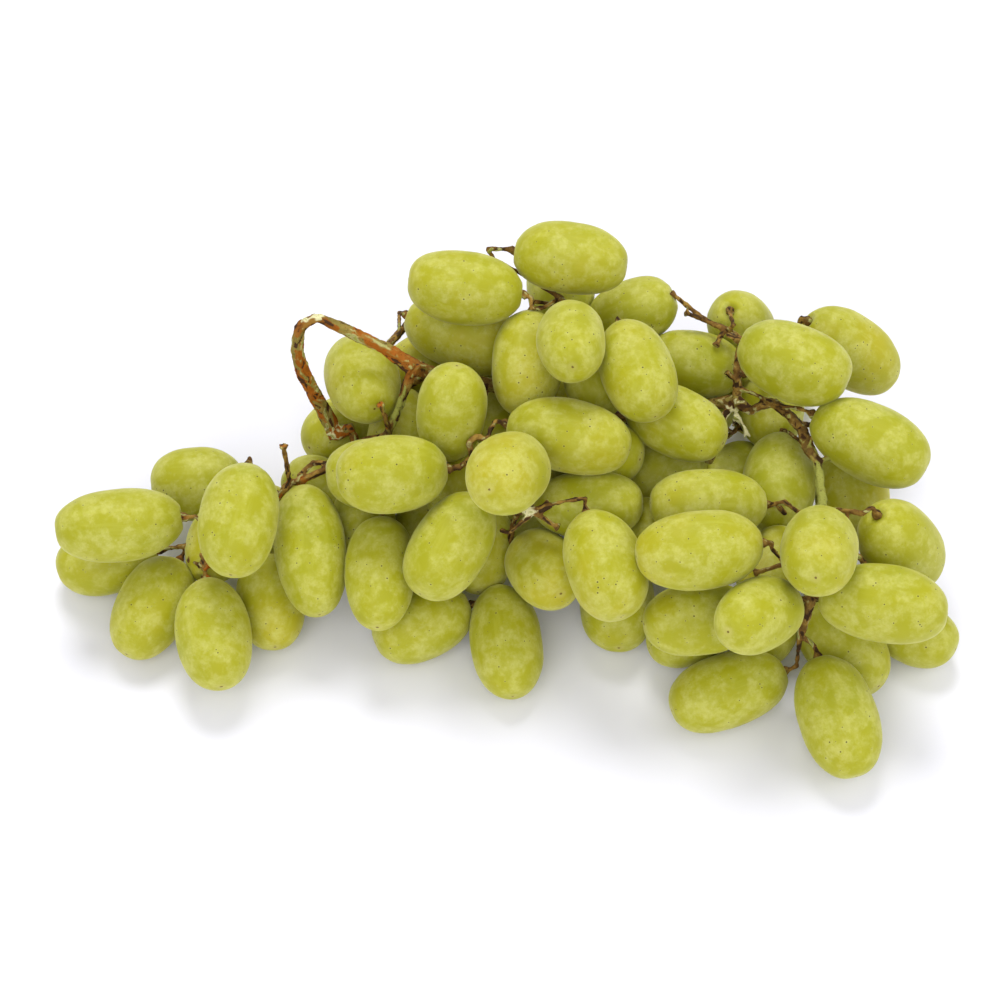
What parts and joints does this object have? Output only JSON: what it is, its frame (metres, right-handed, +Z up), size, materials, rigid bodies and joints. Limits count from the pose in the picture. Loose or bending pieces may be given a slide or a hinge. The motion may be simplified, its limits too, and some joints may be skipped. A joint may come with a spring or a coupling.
{
  "type": "bunch of grapes",
  "caption": "Bunch of long pale green table grapes lying down as picked, with a bent woody stalk whose side branches end in the berries.",
  "frame": {"origin": "on the surface that the bunch lies on, under the middle of its box", "axes": "+X along the bunch, from the small side cluster towards the big end, +Y towards the back, +Z up"},
  "size_m": [0.2072, 0.1288, 0.0687],
  "materials": {
    "berry_skin": "waxy satin",
    "stalk_bark": "dry bark"
  },
  "bodies": {
    "root": {"wing_berry_1": "berry_skin", "wing_berry_2": "berry_skin", "wing_berry_3": "berry_skin", "wing_berry_4": "berry_skin", "wing_berry_5": "berry_skin", "wing_berry_6": "berry_skin", "wing_berry_7": "berry_skin", "front_berry_1": "berry_skin", "front_berry_2": "berry_skin", "front_berry_3": "berry_skin", "front_berry_4": "berry_skin", "front_berry_5": "berry_skin", "front_berry_6": "berry_skin", "front_berry_7": "berry_skin", "front_berry_8": "berry_skin", "front_berry_9": "berry_skin", "front_berry_10": "berry_skin", "front_berry_11": "berry_skin", "neck_berry_1": "berry_skin", "neck_berry_2": "berry_skin", "neck_berry_3": "berry_skin", "neck_berry_4": "berry_skin", "crown_berry_1": "berry_skin", "crown_berry_2": "berry_skin", "crown_berry_3": "berry_skin", "crown_berry_4": "berry_skin", "crown_berry_5": "berry_skin", "crown_berry_6": "berry_skin", "crown_berry_7": "berry_skin", "crown_berry_8": "berry_skin", "crown_berry_9": "berry_skin", "heart_berry_1": "berry_skin", "heart_berry_2": "berry_skin", "heart_berry_3": "berry_skin", "heart_berry_4": "berry_skin", "heart_berry_5": "berry_skin", "heart_berry_6": "berry_skin", "heart_berry_7": "berry_skin", "heart_berry_8": "berry_skin", "heart_berry_9": "berry_skin", "flank_berry_1": "berry_skin", "flank_berry_2": "berry_skin", "flank_berry_3": "berry_skin", "flank_berry_4": "berry_skin", "flank_berry_5": "berry_skin", "flank_berry_6": "berry_skin", "tail_berry_1": "berry_skin", "tail_berry_2": "berry_skin", "tail_berry_3": "berry_skin", "tail_berry_4": "berry_skin", "tail_berry_5": "berry_skin", "tail_berry_6": "berry_skin", "tail_berry_7": "berry_skin", "tail_berry_8": "berry_skin", "tail_berry_9": "berry_skin", "tail_berry_10": "berry_skin", "tail_berry_11": "berry_skin", "tail_berry_12": "berry_skin", "tail_berry_13": "berry_skin", "stalk": "stalk_bark"}
  },
  "joints": []
}
